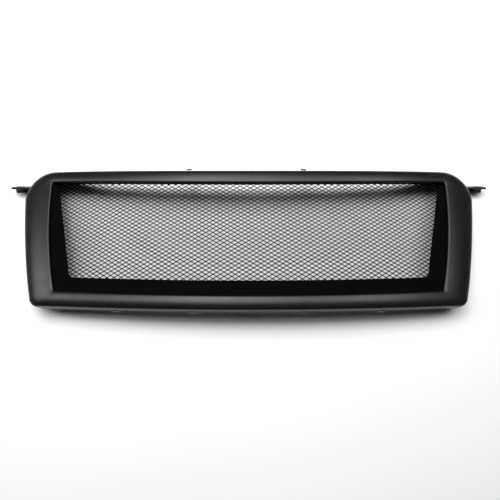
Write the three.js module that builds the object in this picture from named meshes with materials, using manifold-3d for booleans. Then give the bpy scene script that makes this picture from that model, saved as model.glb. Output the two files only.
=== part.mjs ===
// Mesh front grille of a road vehicle, lying on its back.
// +X to the right seen from the front, +Y towards the bonnet edge, +Z out of the front face.
// Z = 0 is the plane of the rear edges of the two side rails. Millimetres.
import * as THREE from "three";
import { mergeVertices, mergeGeometries } from "three/addons/utils/BufferGeometryUtils.js";
import Module from "manifold-3d";

const wasm = await Module();
wasm.setup();

// ---- driving dimensions -------------------------------------------------
const HALF_WIDTH = 504.6; // widest half width of the surround
const BOW2 = 1.0516e-4; // plan bow, quadratic term
const BOW4 = 1.933e-10; // plan bow, fourth-power term
const Z_LIP = 80; // inner lip of the surround, on the centre line
const WALL = 3; // moulding wall
const RETURN_DEPTH = 6; // inner return wall of the surround
const REAR_Z = 46; // rear edge of the top and bottom skirts, on the centre line
const SEAT = -13.6; // mesh seat, below the lip
const MESH_T = 1.2; // mesh sheet
const RET_T = 3; // retainer strip
const RIM_DEPTH = -19; // locating rim round the mesh edge
const GAP = 0.3; // gap between touching pieces
const MESH_GAP = 0.6; // play of the mesh under its seat
const SCREW_R = 2; // screw shank
const TAB_TILT = 38; // side bracket plate, degrees off the +Z axis
const TAB_HOLE_R = 8.4;
const Y_MID = 167.03; // middle of the overall length, which the origin lies under

const bow = (x) => BOW2 * x * x + BOW4 * x ** 4;

// ---- outlines in the XY plane ---------------------------------------------
const OUTER = {
  top: (x) => 309.6 + 9.6 * (x / 391) ** 2,
  bottom: (x) => 3.4 + 10.6 * (x / 400) ** 2,
  side: (y) => {
    const t = 268 - y;
    return t < 0 ? HALF_WIDTH - 0.03 * t : HALF_WIDTH - 0.183 * t - 3.3e-4 * t * t;
  },
  topT: 69,
  botT: 14,
};
const LIP = {
  top: (x) => 276.7 + 16.2 * (x / 438) ** 2,
  bottom: (x) => 31.6 + 13.2 * (x / 388) ** 2,
  side: (y) => {
    const t = 292.9 - y;
    return 438.4 - 0.0594 * t - 5.72e-4 * t * t;
  },
  topT: 7,
  botT: 4,
};
const APERTURE = {
  top: (x) => 279.2 + 14.4 * (x / 423) ** 2,
  bottom: (x) => 64.4 + 11.0 * (x / 367) ** 2,
  side: (y) => 428.6 - 0.285 * (291 - y),
  topT: 10,
  botT: 10,
};

const N_TOP = 13,
  N_BOT = 12,
  N_SIDE = 6,
  N_COR = 4;

// Closed loop of matching stations: top side left to right, then clockwise.
function loop(o) {
  const solve = (edge) => {
    let y = edge(420);
    for (let i = 0; i < 40; i++) y = edge(o.side(y));
    return [o.side(y), y];
  };
  const [xt, yt] = solve(o.top),
    [xb, yb] = solve(o.bottom);
  const onSide = (y) => [o.side(y), y];
  const topEnd = xt - o.topT,
    botEnd = xb - o.botT,
    sideTop = yt - o.topT,
    sideBot = yb + o.botT;
  const cubic = (a, p, c) => {
    const k = 0.54,
      out = [];
    const b1 = [a[0] + (p[0] - a[0]) * k, a[1] + (p[1] - a[1]) * k];
    const b2 = [c[0] + (p[0] - c[0]) * k, c[1] + (p[1] - c[1]) * k];
    for (let i = 1; i < N_COR; i++) {
      const t = i / N_COR,
        u = 1 - t;
      out.push([0, 1].map((j) => u ** 3 * a[j] + 3 * u * u * t * b1[j] + 3 * u * t * t * b2[j] + t ** 3 * c[j]));
    }
    return out;
  };
  const pts = [];
  for (let i = 0; i <= N_TOP; i++) {
    const x = -topEnd + (2 * topEnd * i) / N_TOP;
    pts.push([x, o.top(x)]);
  }
  pts.push(...cubic([topEnd, o.top(topEnd)], [xt, yt], onSide(sideTop)));
  for (let i = 0; i <= N_SIDE; i++) pts.push(onSide(sideTop + ((sideBot - sideTop) * i) / N_SIDE));
  pts.push(...cubic(onSide(sideBot), [xb, yb], [botEnd, o.bottom(botEnd)]));
  for (let i = 0; i <= N_BOT; i++) {
    const x = botEnd - (2 * botEnd * i) / N_BOT;
    pts.push([x, o.bottom(x)]);
  }
  const mir = ([x, y]) => [-x, y];
  pts.push(...cubic(onSide(sideBot), [xb, yb], [botEnd, o.bottom(botEnd)]).reverse().map(mir));
  for (let i = 0; i <= N_SIDE; i++) pts.push(mir(onSide(sideBot + ((sideTop - sideBot) * i) / N_SIDE)));
  pts.push(...cubic([topEnd, o.top(topEnd)], [xt, yt], onSide(sideTop)).reverse().map(mir));
  return pts;
}
const outer = loop(OUTER),
  lip = loop(LIP),
  aperture = loop(APERTURE);
const N = outer.length;

// Share of each station that belongs to a side rail, 0 on the long rails.
// The long rails run on round the lower corners, whose skirts stop short of the table.
const smooth = (t) => t * t * (3 - 2 * t);
const clamp = (t) => Math.min(1, Math.max(0, t));
const sideShare = outer.map(([x, y]) => Math.min(smooth(clamp((Math.abs(x) - 310) / 132)), smooth(clamp((y - 24) / 46))));
// Outward unit direction of a loop at station i.
function outward(l, i) {
  const a = l[(i + N - 1) % N],
    b = l[(i + 1) % N];
  const d = Math.hypot(b[0] - a[0], b[1] - a[1]);
  return [-(b[1] - a[1]) / d, (b[0] - a[0]) / d];
}
const mix = (a, b, t) => [a[0] + (b[0] - a[0]) * t, a[1] + (b[1] - a[1]) * t];

// ---- solids -----------------------------------------------------------------
// Ring of sections, closed both ways. rings[i] is the list of [x, y, z] of station i.
function ring(rings) {
  const m = rings[0].length,
    pos = rings.flat(2),
    idx = [];
  for (let i = 0; i < rings.length; i++)
    for (let j = 0; j < m; j++) {
      const a = i * m + j,
        b = i * m + ((j + 1) % m),
        c = ((i + 1) % rings.length) * m + j,
        d = ((i + 1) % rings.length) * m + ((j + 1) % m);
      idx.push(a, b, d, a, d, c);
    }
  const g = new THREE.BufferGeometry();
  g.setAttribute("position", new THREE.Float32BufferAttribute(pos, 3));
  g.setIndex(idx);
  return solid(g);
}
// Strip of sections with flat ends.
function strip(rings) {
  const m = rings[0].length,
    pos = rings.flat(2),
    idx = [];
  for (let i = 0; i + 1 < rings.length; i++)
    for (let j = 0; j < m; j++) {
      const a = i * m + j,
        b = i * m + ((j + 1) % m),
        c = a + m,
        d = b + m;
      idx.push(a, b, d, a, d, c);
    }
  for (let j = 1; j + 1 < m; j++) {
    idx.push(0, j + 1, j);
    const e = (rings.length - 1) * m;
    idx.push(e, e + j, e + j + 1);
  }
  const g = new THREE.BufferGeometry();
  g.setAttribute("position", new THREE.Float32BufferAttribute(pos, 3));
  g.setIndex(idx);
  return solid(g);
}
function solid(geometry) {
  let g = geometry.clone();
  g.deleteAttribute("normal");
  g.deleteAttribute("uv");
  g = mergeVertices(g, 1e-3);
  const make = (tri) =>
    new wasm.Manifold(
      new wasm.Mesh({ numProp: 3, vertProperties: new Float32Array(g.attributes.position.array), triVerts: tri }),
    );
  const tri = new Uint32Array(g.index.array);
  const s = make(tri);
  if (s.volume() >= 0) return s;
  for (let i = 0; i < tri.length; i += 3) [tri[i + 1], tri[i + 2]] = [tri[i + 2], tri[i + 1]];
  return make(tri);
}
function place(g, dir, at) {
  const q = new THREE.Quaternion().setFromUnitVectors(new THREE.Vector3(0, 1, 0), new THREE.Vector3(...dir).normalize());
  return g.clone().applyQuaternion(q).translate(...at);
}
// Turned solid: profile of [radius, height], height along dir from the point at.
const turned = (profile, dir, at, n = 8) =>
  solid(place(new THREE.LatheGeometry(profile.map((p) => new THREE.Vector2(...p)), n), dir, at));
const rod = (r, from, to, dir, at, n = 8) => turned([[0, from], [r, from], [r, to], [0, to]], dir, at, n);

const parts = new THREE.Group();
const MAT = {
  satin: new THREE.MeshStandardMaterial({ color: 0x17181a, roughness: 0.38, metalness: 0 }),
  matte: new THREE.MeshStandardMaterial({ color: 0x0c0c0d, roughness: 0.7, metalness: 0 }),
  mesh: new THREE.MeshStandardMaterial({ color: 0x101011, roughness: 0.5, metalness: 0.3 }),
  steel: new THREE.MeshStandardMaterial({ color: 0x8d9094, roughness: 0.35, metalness: 1 }),
  rubber: new THREE.MeshStandardMaterial({ color: 0x141414, roughness: 0.85, metalness: 0 }),
};
function add(name, s, mat) {
  const m = s.translate([0, -Y_MID, 0]).getMesh(),
    n = m.numProp,
    v = new Float32Array(m.numVert * 3);
  for (let i = 0; i < m.numVert; i++) v.set(m.vertProperties.subarray(i * n, i * n + 3), i * 3);
  const g = new THREE.BufferGeometry()
    .setAttribute("position", new THREE.BufferAttribute(v, 3))
    .setIndex(new THREE.BufferAttribute(new Uint32Array(m.triVerts), 1));
  const mesh = new THREE.Mesh(g, MAT[mat]);
  mesh.name = name;
  parts.add(mesh);
}

// ---- surround ---------------------------------------------------------------
// Section from the opening outwards: s is the share of the rail width, z is below the lip.
const FACE_LONG = [[0.026, -0.9], [0.07, 0.15], [0.2, 0.9], [0.42, 1.0], [0.62, -0.4], [0.8, -3.4], [0.93, -7.4], [1, -13.2]];
const FACE_SIDE = [[0.014, -0.9], [0.04, 0.1], [0.12, 0.7], [0.32, 0.9], [0.58, -0.5], [0.8, -3.2], [0.93, -6.5], [1, -11.4]];
function railSection(i) {
  const L = lip[i],
    O = outer[i],
    w = sideShare[i];
  const W = Math.hypot(O[0] - L[0], O[1] - L[1]);
  const at = (s, z) => {
    const p = mix(L, O, s);
    return [p[0], p[1], Z_LIP + z - bow(p[0])];
  };
  const face = FACE_LONG.map((a, k) => at(...mix(a, FACE_SIDE[k], w)));
  const rear = (p) => [p[0], p[1], Math.max(0, (REAR_Z - bow(p[0])) * (1 - w))];
  const t = WALL / W;
  const inner = FACE_LONG.map((a, k) => {
    const [s, z] = mix(a, FACE_SIDE[k], w);
    if (k === 0) return at(s + t * 0.85, z - 2.4);
    return at(s - t * Math.max(0, (s - 0.72) / 0.28), z - WALL);
  });
  return [
    at(0, -RETURN_DEPTH),
    at(0, -2.2),
    ...face,
    rear(mix(L, O, 1 - 0.4 / W)),
    rear(mix(L, O, 1 - 3.4 / W)),
    ...inner.reverse(),
    at(t, -RETURN_DEPTH),
  ];
}
let surround = ring(outer.map((_, i) => railSection(i)));

// ---- inner frame: funnel between the lip and the mesh seat ----------------------
const dLip = aperture.map((p, i) => {
  const n = outward(aperture, i);
  return (lip[i][0] - p[0]) * n[0] + (lip[i][1] - p[1]) * n[1];
});
const flangeOut = (i) => Math.max(dLip[i] + 9, 18.8);
function frameSection(i) {
  const n = outward(aperture, i),
    p = aperture[i];
  const at = (d, z) => {
    const q = [p[0] + n[0] * d, p[1] + n[1] * d];
    return [q[0], q[1], Z_LIP + z - bow(q[0])];
  };
  const top = -RETURN_DEPTH - GAP,
    dl = dLip[i] + 0.3,
    f = flangeOut(i);
  return [
    at(f, top - 1.3),
    at(dl, top),
    at(dl - 0.6, top - 0.7),
    at(0.9, SEAT + 1.5),
    at(0, SEAT),
    at(15.2, SEAT),
    at(15.2, RIM_DEPTH),
    at(18, RIM_DEPTH),
    at(18, SEAT + 2.6),
    at(Math.max(dl - 3, 18.2), top - 3.2),
    at(f, top - 3),
  ];
}
let frame = ring(aperture.map((_, i) => frameSection(i)));

// ---- fastening points -------------------------------------------------------------
const nearest = (l, x, y) => {
  let best = 0,
    d = 1e9;
  l.forEach((p, i) => {
    const e = Math.hypot(p[0] - x, p[1] - y);
    if (e < d) [best, d] = [i, e];
  });
  return best;
};
const seatPoint = (i, d) => {
  const n = outward(aperture, i),
    p = aperture[i];
  return [p[0] + n[0] * d, p[1] + n[1] * d];
};
const UP = [0, 0, 1];
const screwAt = (x, y, zHead, length, headR = 4.2) =>
  turned([[0, -2.6], [headR * 0.62, -2.6], [headR, -1.5], [headR, 0], [SCREW_R, 0], [SCREW_R, length], [0, length + 0.6]], UP, [x, y, zHead]);

// Frame screws pull the funnel flange onto bosses under the surround face.
const FRAME_SCREWS = [
  ["bottom_1", -300, 20], ["bottom_2", 0, 20], ["bottom_3", 300, 20],
  ["left_1", -440, 240], ["left_2", -410, 110], ["right_1", 440, 240], ["right_2", 410, 110],
];
const frameScrews = [];
for (const [name, x, y] of FRAME_SCREWS) {
  const i = nearest(aperture, x, y);
  frameScrews.push([name, ...seatPoint(i, dLip[i] + 6.6)]);
}
for (const [name, px, py] of frameScrews) {
  const b = bow(px);
  const zFlange = Z_LIP - RETURN_DEPTH - GAP - b;
  const boss = rod(4.6, 0.5 + 5 * Math.abs(bow(px + 4.6) - bow(px - 4.6)) / 9.2, 5.6, UP, [px, py, zFlange], 10);
  surround = surround.add(boss).subtract(rod(SCREW_R + 0.15, -4, 3.4, UP, [px, py, zFlange], 8));
}

// Mesh panel, a bowed sheet that reaches under the funnel on all sides.
const MESH_COLS = 18,
  MESH_ROWS = 3;
function sheet(z1, z2, inset) {
  const yT = (x) => APERTURE.top(x) + 13.4 - inset,
    yB = (x) => APERTURE.bottom(x) - 13.4 + inset,
    xS = (y) => APERTURE.side(y) + 13.4 - inset;
  const grid = [];
  for (let i = 0; i <= MESH_COLS; i++) {
    const col = [];
    for (let j = 0; j <= MESH_ROWS; j++) {
      const u = (2 * i) / MESH_COLS - 1;
      let x = 400 * u,
        y = 0;
      for (let k = 0; k < 20; k++) {
        y = yB(x) + ((yT(x) - yB(x)) * j) / MESH_ROWS;
        x = u * xS(y);
      }
      col.push([x, y]);
    }
    grid.push(col);
  }
  const pos = [],
    idx = [],
    R = MESH_ROWS + 1;
  for (const z of [z1, z2]) for (const c of grid) for (const [x, y] of c) pos.push(x, y, Z_LIP + z - bow(x));
  const K = grid.length * R;
  const q = (a, b, c, d) => idx.push(a, b, c, a, c, d);
  for (let i = 0; i < MESH_COLS; i++)
    for (let j = 0; j < MESH_ROWS; j++) {
      const a = i * R + j;
      q(a, a + R, a + R + 1, a + 1);
      q(K + a, K + a + 1, K + a + R + 1, K + a + R);
    }
  for (let i = 0; i < MESH_COLS; i++) {
    const a = i * R,
      b = a + MESH_ROWS;
    q(a, K + a, K + a + R, a + R);
    q(b, b + R, K + b + R, K + b);
  }
  for (let j = 0; j < MESH_ROWS; j++) {
    const b = MESH_COLS * R + j;
    q(j, j + 1, K + j + 1, K + j);
    q(b, K + b, K + b + 1, b + 1);
  }
  const g = new THREE.BufferGeometry();
  g.setAttribute("position", new THREE.Float32BufferAttribute(pos, 3));
  g.setIndex(idx);
  return solid(g);
}
const meshOutline = solid(
  new THREE.ExtrudeGeometry(new THREE.Shape(aperture.map((p, i) => new THREE.Vector2(...seatPoint(i, 13.4)))), { depth: 120, bevelEnabled: false }),
);
let mesh = sheet(SEAT - MESH_GAP, SEAT - MESH_GAP - MESH_T, 0).intersect(meshOutline);

// Retainer strips behind the mesh edge.
const RET_TOP = SEAT - MESH_GAP - MESH_T - 0.5;
function retainer(i0, i1, trim0, trim1) {
  const rings = [];
  const section = (p, n) => {
    const at = (d, z) => {
      const q = [p[0] + n[0] * d, p[1] + n[1] * d];
      return [q[0], q[1], Z_LIP + z - bow(q[0])];
    };
    return [at(1.4, RET_TOP), at(1.4, RET_TOP - RET_T * 0.6), at(2.6, RET_TOP - RET_T), at(14.6, RET_TOP - RET_T), at(14.6, RET_TOP)];
  };
  for (let i = i0; i <= i1; i++) {
    const k = (i + N) % N;
    let p = aperture[k];
    const n = outward(aperture, k);
    if (i === i0) p = mix(p, aperture[(k + 1) % N], trim0);
    if (i === i1) p = mix(p, aperture[(k + N - 1) % N], trim1);
    rings.push(section(p, n));
  }
  return strip(rings);
}
const iTop = [0, N_TOP],
  iRight = [N_TOP + N_COR, N_TOP + N_COR + N_SIDE],
  iBot = [iRight[1] + N_COR, iRight[1] + N_COR + N_BOT],
  iLeft = [iBot[1] + N_COR, iBot[1] + N_COR + N_SIDE];
const retainers = {
  top: retainer(...iTop, 0.1, 0.1),
  right: retainer(...iRight, 0.3, 0.3),
  bottom: retainer(...iBot, 0.1, 0.1),
  left: retainer(...iLeft, 0.3, 0.3),
};
const RET_SCREWS = [
  ["top", [-350, -175, 0, 175, 350].map((x) => [x, 290])],
  ["bottom", [-320, -160, 0, 160, 320].map((x) => [x, 64])],
  ["left", [[-418, 235], [-385, 120]]],
  ["right", [[418, 235], [385, 120]]],
];
const retScrews = [];
for (const [side, list] of RET_SCREWS)
  list.forEach(([x, y], k) => {
    // exact point on the aperture side, 8 mm outwards
    const q =
      side === "top" ? [x, APERTURE.top(x) + 8] : side === "bottom" ? [x, APERTURE.bottom(x) - 8] : [Math.sign(x) * (APERTURE.side(y) + 7.7), y - 2.2];
    retScrews.push([side, k + 1, ...q]);
  });
for (const [side, k, x, y] of retScrews) {
  const b = Z_LIP - bow(x);
  const hole = rod(SCREW_R + 0.15, -8.5, 2.4, UP, [x, y, b + SEAT], 8);
  mesh = mesh.subtract(hole);
  retainers[side] = retainers[side].subtract(hole);
  frame = frame.subtract(hole);
}
for (const [name, px, py] of frameScrews)
  frame = frame.subtract(rod(SCREW_R + 0.15, -8, 6, UP, [px, py, Z_LIP - bow(px) - RETURN_DEPTH], 8));

// ---- side brackets ------------------------------------------------------------
// Prism over the outer outline, grown by g, that the bracket arms are cut back from.
function outlinePrism(g) {
  const sh = new THREE.Shape(outer.map((p, i) => new THREE.Vector2(...outward(outer, i).map((n, j) => p[j] + n * g))));
  return solid(new THREE.ExtrudeGeometry(sh, { depth: 120, bevelEnabled: false }).translate(0, 0, -20));
}
const tilt = (TAB_TILT * Math.PI) / 180;
const TAB_DIR = [0, Math.sin(tilt), -Math.cos(tilt)]; // front edge to rear edge of the plate
const TAB_UP = [0, Math.cos(tilt), Math.sin(tilt)]; // upper face of the plate
const TAB = { x: 530, y: 299.3, z: 18.6, tip: 549.6, thick: 4, depth: 20, boss: 11.4, bossH: 8.5 };
function bracketFrame(g, side) {
  // local x away from the grille, local y along TAB_DIR, local z along TAB_UP
  const m = new THREE.Matrix4().makeBasis(
    new THREE.Vector3(side, 0, 0),
    new THREE.Vector3(...TAB_DIR),
    new THREE.Vector3(...TAB_UP),
  );
  m.setPosition(side * TAB.x, TAB.y, TAB.z);
  return solid(g.clone().applyMatrix4(m));
}
function extrude(points, z0, z1) {
  const sh = new THREE.Shape(points.map((p) => new THREE.Vector2(...p)));
  return new THREE.ExtrudeGeometry(sh, { depth: z1 - z0, bevelEnabled: false, curveSegments: 8 }).translate(0, 0, z0);
}
const grown = outlinePrism(0.4);
const tube = (r0, r1, z0, z1, n = 16) =>
  new THREE.LatheGeometry(
    (r0 ? [[r0, z0], [r1, z0], [r1, z1], [r0, z1], [r0, z0]] : [[0, z0], [r1, z0], [r1, z1], [0, z1]]).map((p) => new THREE.Vector2(...p)),
    n,
  ).rotateX(Math.PI / 2);
const L = TAB.tip - TAB.x;
const PLATE = [[-75, -TAB.depth / 2], [L - 6, -TAB.depth / 2], [L, -TAB.depth / 2 + 6], [L, TAB.depth / 2 - 6], [L - 6, TAB.depth / 2], [-75, TAB.depth / 2]];
const FOOT_SCREWS = [254, 276];
const brackets = {},
  footScrews = [];
for (const [name, side] of [["left", -1], ["right", 1]]) {
  const slab = (x0, x1, y0, y1, z0, z1) =>
    solid(new THREE.BoxGeometry(x1 - x0, y1 - y0, z1 - z0).translate((side * (x0 + x1)) / 2, (y0 + y1) / 2, (z0 + z1) / 2));
  let b = bracketFrame(extrude(PLATE, -TAB.thick, 0), side);
  b = b.add(bracketFrame(tube(0, TAB.boss, -TAB.thick - TAB.bossH, -TAB.thick + 1), side));
  b = b.add(bracketFrame(extrude([[-75, -2], [-6, -2], [-6, 2], [-75, 2]], -TAB.thick - TAB.bossH + 2, -1), side));
  // foot plate against the rail wall, cut back to the rail's own curve
  b = b.add(outlinePrism(4.4).intersect(slab(470, 512, 244, 304, 5, 17.5)));
  b = b.subtract(grown).subtract(bracketFrame(tube(0, TAB_HOLE_R, -40, 20, 16), side));
  FOOT_SCREWS.forEach((y, k) => {
    const dir = [side * 0.97, 0.04, 0];
    const x = y > 270 ? OUTER.side(y) - 0.6 : OUTER.side(y);
    const at = [side * x, y, 11.4];
    const hole = rod(SCREW_R + 0.15, -7, 8, dir, at, 8);
    b = b.subtract(hole);
    surround = surround.subtract(hole);
    footScrews.push(["bracket_screw_" + name + "_" + (k + 1), dir, at]);
  });
  b = b.intersect(slab(440, 600, 200, 400, 0.4, 60));
  brackets[name] = b;
}

// ---- spring clips on the rear edges of the top and bottom skirts ------------------
// Profile in the YZ plane, measured from the skirt's outer foot; width along X.
const TOP_CLIP = [[-4.9, 8], [-4.9, -1.8], [18.5, -1.8], [20.6, 1], [19.8, 1.8], [17.8, -0.6], [1.5, -0.6], [1.5, 6], [0.3, 6], [0.3, -0.6], [-3.7, -0.6], [-3.7, 8]];
const LOW_CLIP = [[-4.9, 8], [-4.9, -1.8], [-2.9, -1.8], [-2.9, -14], [-1.9, -16], [-0.7, -11], [1.2, -9.4], [1.2, -8.2], [-1.7, -8.6], [-1.7, -1.8], [1.5, -1.8], [1.5, 6], [0.3, 6], [0.3, -0.6], [-3.7, -0.6], [-3.7, 8]];
function clip(profile, x, y, flip, width) {
  const sh = new THREE.Shape(profile.map((p) => new THREE.Vector2(p[0] * flip, p[1])));
  const g = new THREE.ExtrudeGeometry(sh, { depth: width, bevelEnabled: false }).translate(0, 0, -width / 2);
  g.applyMatrix4(new THREE.Matrix4().makeBasis(new THREE.Vector3(0, 1, 0), new THREE.Vector3(0, 0, 1), new THREE.Vector3(1, 0, 0)));
  const slope = -Math.atan(2 * BOW2 * x + 4 * BOW4 * x ** 3);
  return solid(g.rotateY(-slope).translate(x, y, REAR_Z - bow(x)));
}
const TOP_CLIPS = [["left", -136], ["right", 125]];
const LOW_CLIPS = [-265, -110, 110, 265];

add("surround", surround, "satin");
add("inner_frame", frame, "matte");
add("mesh_panel", mesh, "mesh");
for (const k of Object.keys(retainers)) add("mesh_retainer_" + k, retainers[k], "matte");
retScrews.forEach(([side, k, x, y]) => {
  add("retainer_screw_" + side + "_" + k, screwAt(x, y, Z_LIP - bow(x) + RET_TOP - RET_T - GAP - 0.5, 6.4), "steel");
});
for (const name of ["left", "right"]) {
  const side = name === "left" ? -1 : 1;
  add("side_bracket_" + name, brackets[name], "matte");
  add("bracket_bush_" + name, bracketFrame(tube(4.6, TAB_HOLE_R - 0.3, -TAB.thick - TAB.bossH + 0.5, -0.6, 14), side), "rubber");
}
for (const [name, x] of TOP_CLIPS) add("top_clip_" + name, clip(TOP_CLIP, x, OUTER.top(x), 1, 12), "steel");
LOW_CLIPS.forEach((x, k) => add("bottom_clip_" + (k + 1), clip(LOW_CLIP, x, OUTER.bottom(x), -1, 14), "steel"));
for (const [name, dir, at] of footScrews)
  add(name, turned([[0, -5.5], [SCREW_R, -5.5], [SCREW_R, 5.4], [4.1, 5.4], [4.1, 6.6], [2.5, 8], [0, 8]], dir, at), "steel");
frameScrews.forEach(([name, x, y]) => {
  const b = Z_LIP - bow(x);
  add("frame_screw_" + name, screwAt(x, y, b - RETURN_DEPTH - GAP - 3.2 - GAP - 0.6, 6.2), "steel");
});

export default parts;
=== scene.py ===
import math

import bmesh
import bpy
import numpy as np
from mathutils import Matrix, Vector


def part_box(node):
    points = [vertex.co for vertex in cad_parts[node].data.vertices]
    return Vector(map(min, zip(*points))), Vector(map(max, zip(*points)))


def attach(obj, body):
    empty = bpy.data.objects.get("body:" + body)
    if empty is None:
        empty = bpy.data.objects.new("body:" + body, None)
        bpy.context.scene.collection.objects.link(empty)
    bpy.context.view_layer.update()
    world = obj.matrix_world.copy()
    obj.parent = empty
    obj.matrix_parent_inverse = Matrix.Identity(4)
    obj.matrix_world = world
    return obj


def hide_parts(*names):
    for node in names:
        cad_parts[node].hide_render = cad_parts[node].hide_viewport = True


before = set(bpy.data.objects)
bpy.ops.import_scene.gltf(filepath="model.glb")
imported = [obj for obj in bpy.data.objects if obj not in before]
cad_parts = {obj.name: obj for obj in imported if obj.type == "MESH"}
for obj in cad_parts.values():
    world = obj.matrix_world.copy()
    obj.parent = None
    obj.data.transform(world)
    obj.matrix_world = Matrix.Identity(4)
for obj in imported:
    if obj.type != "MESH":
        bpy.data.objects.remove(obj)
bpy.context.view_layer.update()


scene = bpy.context.scene

# ---- dimensions, millimetres, the same as the CAD model's ---------------------------
HALF_WIDTH, BOW2, BOW4, Z_LIP, WALL = 504.6, 1.0516e-4, 1.933e-10, 80.0, 3.0
RETURN_DEPTH, REAR_Z, SEAT, MESH_T, MESH_GAP, GAP = 6.0, 46.0, -13.6, 1.2, 0.6, 0.3
RET_T, RIM_DEPTH, SCREW_R, Y_MID = 3.0, -19.0, 2.0, 167.03
RET_TOP = SEAT - MESH_GAP - MESH_T - 0.5


def bow(x):
    return BOW2 * x * x + BOW4 * x**4


def mm(x, y, z):
    return (x / 1000, (y - Y_MID) / 1000, z / 1000)


# ---- outlines -------------------------------------------------------------------------
def outer_side(y):
    t = 268 - y
    return HALF_WIDTH - 0.03 * t if t < 0 else HALF_WIDTH - 0.183 * t - 3.3e-4 * t * t


OUTER = dict(
    top=lambda x: 309.6 + 9.6 * (x / 391) ** 2,
    bottom=lambda x: 3.4 + 10.6 * (x / 400) ** 2,
    side=outer_side,
    topT=69,
    botT=14,
)
LIP = dict(
    top=lambda x: 276.7 + 16.2 * (x / 438) ** 2,
    bottom=lambda x: 31.6 + 13.2 * (x / 388) ** 2,
    side=lambda y: 438.4 - 0.0594 * (292.9 - y) - 5.72e-4 * (292.9 - y) ** 2,
    topT=7,
    botT=4,
)
APERTURE = dict(
    top=lambda x: 279.2 + 14.4 * (x / 423) ** 2,
    bottom=lambda x: 64.4 + 11.0 * (x / 367) ** 2,
    side=lambda y: 428.6 - 0.285 * (291 - y),
    topT=10,
    botT=10,
)
FINE = 6  # stations for each one of the CAD model
N_TOP, N_BOT, N_SIDE, N_COR = 13 * FINE, 12 * FINE, 6 * FINE, 4 * FINE


def loop(o):
    def solve(edge):
        y = edge(420)
        for _ in range(60):
            y = edge(o["side"](y))
        return o["side"](y), y

    (xt, yt), (xb, yb) = solve(o["top"]), solve(o["bottom"])
    te, be = xt - o["topT"], xb - o["botT"]
    st, sb = yt - o["topT"], yb + o["botT"]
    side = lambda y: (o["side"](y), y)

    def cubic(a, p, c):
        k = 0.54
        b1 = [a[j] + (p[j] - a[j]) * k for j in (0, 1)]
        b2 = [c[j] + (p[j] - c[j]) * k for j in (0, 1)]
        out = []
        for i in range(1, N_COR):
            t = i / N_COR
            u = 1 - t
            out.append(tuple(u**3 * a[j] + 3 * u * u * t * b1[j] + 3 * u * t * t * b2[j] + t**3 * c[j] for j in (0, 1)))
        return out

    pts = [(-te + 2 * te * i / N_TOP, o["top"](-te + 2 * te * i / N_TOP)) for i in range(N_TOP + 1)]
    top_c = cubic((te, o["top"](te)), (xt, yt), side(st))
    bot_c = cubic(side(sb), (xb, yb), (be, o["bottom"](be)))
    mir = lambda l: [(-x, y) for x, y in l]
    pts += top_c
    pts += [side(st + (sb - st) * i / N_SIDE) for i in range(N_SIDE + 1)]
    pts += bot_c
    pts += [(be - 2 * be * i / N_BOT, o["bottom"](be - 2 * be * i / N_BOT)) for i in range(N_BOT + 1)]
    pts += mir(bot_c[::-1])
    pts += mir([side(sb + (st - sb) * i / N_SIDE) for i in range(N_SIDE + 1)])
    pts += mir(top_c[::-1])
    return np.array(pts)


def outward_all(l):
    d = np.roll(l, -1, 0) - np.roll(l, 1, 0)
    d /= np.linalg.norm(d, axis=1)[:, None]
    return np.c_[-d[:, 1], d[:, 0]]


outer, lip, aperture = loop(OUTER), loop(LIP), loop(APERTURE)
N = len(outer)
n_outer, n_aper = outward_all(outer), outward_all(aperture)


def smoothstep(t):
    t = np.clip(t, 0, 1)
    return t * t * (3 - 2 * t)


side_share = np.minimum(smoothstep((np.abs(outer[:, 0]) - 310) / 132), smoothstep((outer[:, 1] - 24) / 46))
d_lip = ((lip - aperture) * n_aper).sum(1)


# ---- mesh helpers -----------------------------------------------------------------------
def new_object(name, verts, faces, materials, smooth=40.0, indices=None):
    me = bpy.data.meshes.new(name)
    me.from_pydata([tuple(v) for v in verts], [], [tuple(int(i) for i in f) for f in faces])
    me.update()
    ob = bpy.data.objects.new(name, me)
    scene.collection.objects.link(ob)
    for m in materials:
        me.materials.append(m)
    if indices is not None:
        me.polygons.foreach_set("material_index", indices)
    finish_shade(me, smooth)
    return ob


def finish_shade(me, smooth):
    me.shade_smooth()
    if smooth is not None:
        me.set_sharp_from_angle(angle=math.radians(smooth))


def orient(ob):
    bm = bmesh.new()
    bm.from_mesh(ob.data)
    bmesh.ops.recalc_face_normals(bm, faces=bm.faces)
    bm.to_mesh(ob.data)
    bm.free()


def ring_mesh(rings, closed=True):
    """Faces of stations x section points, section closed, stations closed or capped."""
    R, M = len(rings), len(rings[0])
    verts = [mm(*p) for r in rings for p in r]
    faces = []
    for i in range(R if closed else R - 1):
        for j in range(M):
            a, b = i * M + j, i * M + (j + 1) % M
            c, d = ((i + 1) % R) * M + j, ((i + 1) % R) * M + (j + 1) % M
            faces.append((a, b, d, c))
    if not closed:
        faces.append(tuple(range(M))[::-1])
        faces.append(tuple((R - 1) * M + j for j in range(M)))
    return verts, faces


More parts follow.
